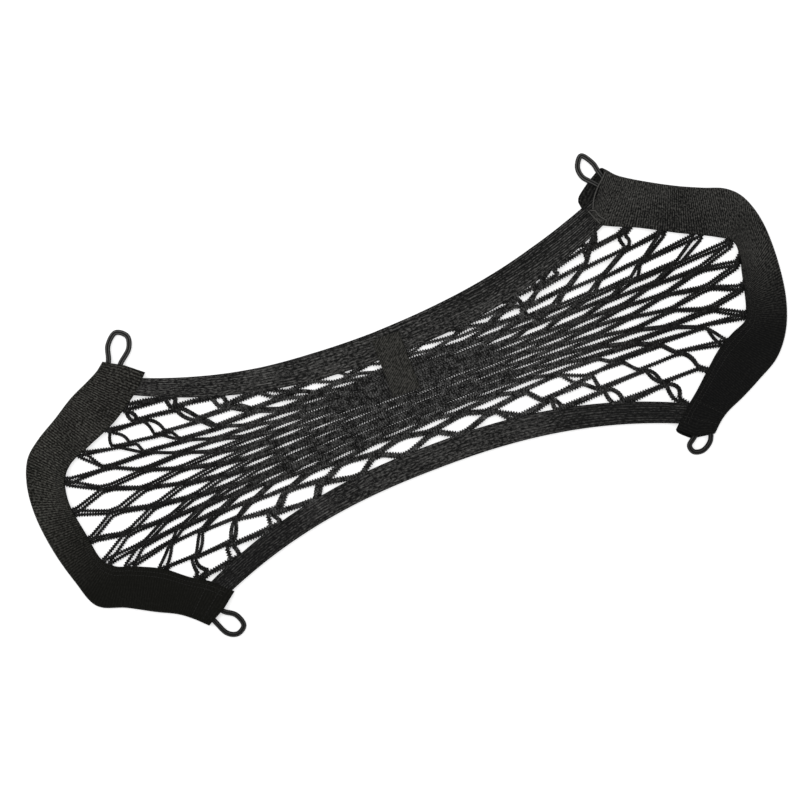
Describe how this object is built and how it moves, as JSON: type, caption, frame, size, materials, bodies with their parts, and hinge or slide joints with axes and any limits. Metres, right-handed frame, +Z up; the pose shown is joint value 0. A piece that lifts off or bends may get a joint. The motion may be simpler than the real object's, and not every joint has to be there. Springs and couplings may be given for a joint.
{
  "type": "elastic cargo net",
  "caption": "Flat elastic cargo net: open diamond mesh in doubled layers between bowed elastic bands, bound at the ends with webbing, a cord loop at each corner and a short tab in the middle.",
  "frame": {"origin": "middle of the net's outline, on the surface that it lies on", "axes": "+X along the long bands, from the end whose binding has level ends to the end whose lower leaf stands out; +Y across the net towards the band that carries the tab; +Z up, out of the face shown"},
  "size_m": [0.605, 0.2534, 0.0061],
  "materials": {
    "elastic_string": "matte",
    "ribbed_elastic": "matte, ribbed lengthways",
    "end_webbing": "matte, ribbed crossways",
    "loop_cord": "satin",
    "tab_webbing": "matte"
  },
  "bodies": {
    "root": {"net_back": "elastic_string", "net_front": "elastic_string", "top_band_back": "ribbed_elastic", "top_band_front": "ribbed_elastic", "bottom_band": "ribbed_elastic", "end_binding_left": "end_webbing", "end_binding_right": "end_webbing", "corner_loop_top_left": "loop_cord", "corner_loop_top_right": "loop_cord", "corner_loop_bottom_left": "loop_cord", "corner_loop_bottom_right": "loop_cord", "centre_tab": "tab_webbing"}
  },
  "joints": []
}
